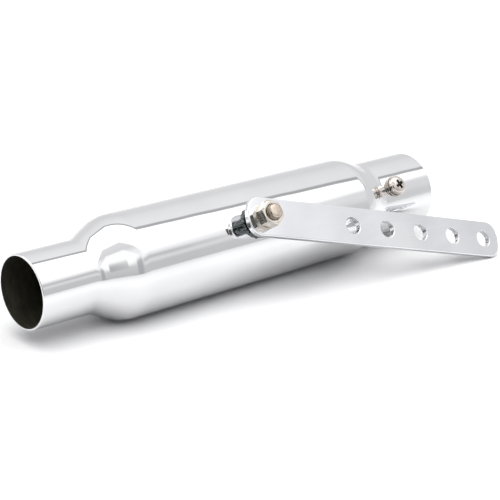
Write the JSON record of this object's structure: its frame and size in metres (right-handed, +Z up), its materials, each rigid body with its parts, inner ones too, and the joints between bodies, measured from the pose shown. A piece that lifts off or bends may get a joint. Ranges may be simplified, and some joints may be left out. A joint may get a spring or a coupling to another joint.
{
  "type": "exhaust muffler",
  "caption": "Chromed straight-through exhaust muffler with necked ends, a drilled swivelling hanger strap on a side stud, and a removable perforated baffle.",
  "frame": {"origin": "centre of the inlet mouth, on the muffler's axis", "axes": "+X along the muffler's axis from the inlet to the outlet, +Z up when the muffler lies at rest on its shell and on the low corner of its bracket strap"},
  "size_m": [0.3392, 0.1039, 0.0672],
  "materials": {
    "shell_chrome": "mirror-polished chrome plate",
    "bracket_chrome": "bright chrome plate, slightly softer than the shell",
    "boss_chrome": "chrome plate over a turned and welded boss",
    "hardware_nickel": "nickel-plated turned steel, warm tint",
    "weld_metal": "raw weld root",
    "inner_steel": "raw mild steel, dull",
    "baffle_steel": "raw mild steel, dull",
    "glass_fibre": "matted glass wool"
  },
  "bodies": {
    "muffler": {"inlet_cone": "shell_chrome", "body_shell": "shell_chrome", "outlet_cone": "shell_chrome", "inlet_seam_weld": "weld_metal", "outlet_seam_weld": "weld_metal", "core_tube": "inner_steel", "core_front_ring": "inner_steel", "core_rear_ring": "inner_steel", "glass_packing": "glass_fibre", "screw_weld_nut": "inner_steel", "mount_boss": "boss_chrome", "boss_weld": "boss_chrome", "mount_stud": "hardware_nickel"},
    "baffle": {"baffle_tube": "baffle_steel", "baffle_nose_cap": "baffle_steel", "baffle_centring_ring": "baffle_steel", "baffle_plug": "baffle_steel", "baffle_collar": "baffle_steel"},
    "bracket": {"bracket_strap": "bracket_chrome"},
    "bracket_washer": {"bracket_spring_washer": "hardware_nickel"},
    "bracket_nut": {"bracket_nut": "hardware_nickel"},
    "screw_washers": {"screw_flat_washer": "hardware_nickel", "screw_spring_washer": "hardware_nickel"},
    "retaining_screw": {"retaining_screw": "hardware_nickel"}
  },
  "joints": [
    {"name": "bracket_swivel", "type": "hinge", "parent": "muffler", "child": "bracket", "pos_m": [0.15, -0.03548, 0.02429], "axis": [0, -0.8251, 0.565], "continuous": true},
    {"name": "bracket_nut_turn", "type": "hinge", "parent": "bracket_washer", "child": "bracket_nut", "pos_m": [0.15, -0.03548, 0.02429], "axis": [0, -0.8251, 0.565], "range_deg": [0, 2520]},
    {"name": "bracket_washer_slide", "type": "slide", "parent": "muffler", "child": "bracket_washer", "axis": [0, -0.8251, 0.565], "range_m": [0, 0.0106]},
    {"name": "retaining_screw_turn", "type": "hinge", "parent": "screw_washers", "child": "retaining_screw", "pos_m": [0.2805, -0.02302, 0.01576], "axis": [0, -0.8251, 0.565], "range_deg": [0, 3240]},
    {"name": "screw_washers_slide", "type": "slide", "parent": "muffler", "child": "screw_washers", "axis": [0, -0.8251, 0.565], "range_m": [0, 0.0091]},
    {"name": "baffle_slide", "type": "slide", "parent": "muffler", "child": "baffle", "axis": [1, 0, 0], "range_m": [0, 0.24]}
  ],
  "couplings": [
    {"joint": "bracket_washer_slide", "follows": "bracket_nut_turn", "m_per_rad": 0.00023873},
    {"joint": "screw_washers_slide", "follows": "retaining_screw_turn", "m_per_rad": 0.00015915}
  ]
}
